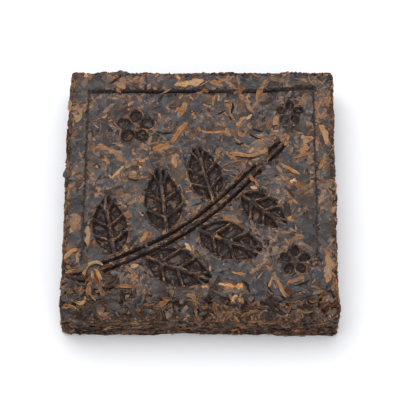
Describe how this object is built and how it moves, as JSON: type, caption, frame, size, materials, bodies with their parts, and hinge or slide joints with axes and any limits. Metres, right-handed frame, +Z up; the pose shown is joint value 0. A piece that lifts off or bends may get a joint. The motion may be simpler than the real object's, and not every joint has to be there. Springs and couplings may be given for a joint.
{
  "type": "pressed tea brick",
  "caption": "Square slab of dark ripe pu erh tea leaves, pressed with a raised border and a sunk leaf sprig, its front edge loose and flaky.",
  "frame": {"origin": "middle of the flat underside", "axes": "+Z up out of the pressed face, -Y towards the loose front edge, +X to the right seen from the front"},
  "size_m": [0.1024, 0.1025, 0.0175],
  "materials": {
    "pressed_tea": "matte, slightly glossy on the pressed face"
  },
  "bodies": {
    "root": {"tea_brick": "pressed_tea"}
  },
  "joints": []
}
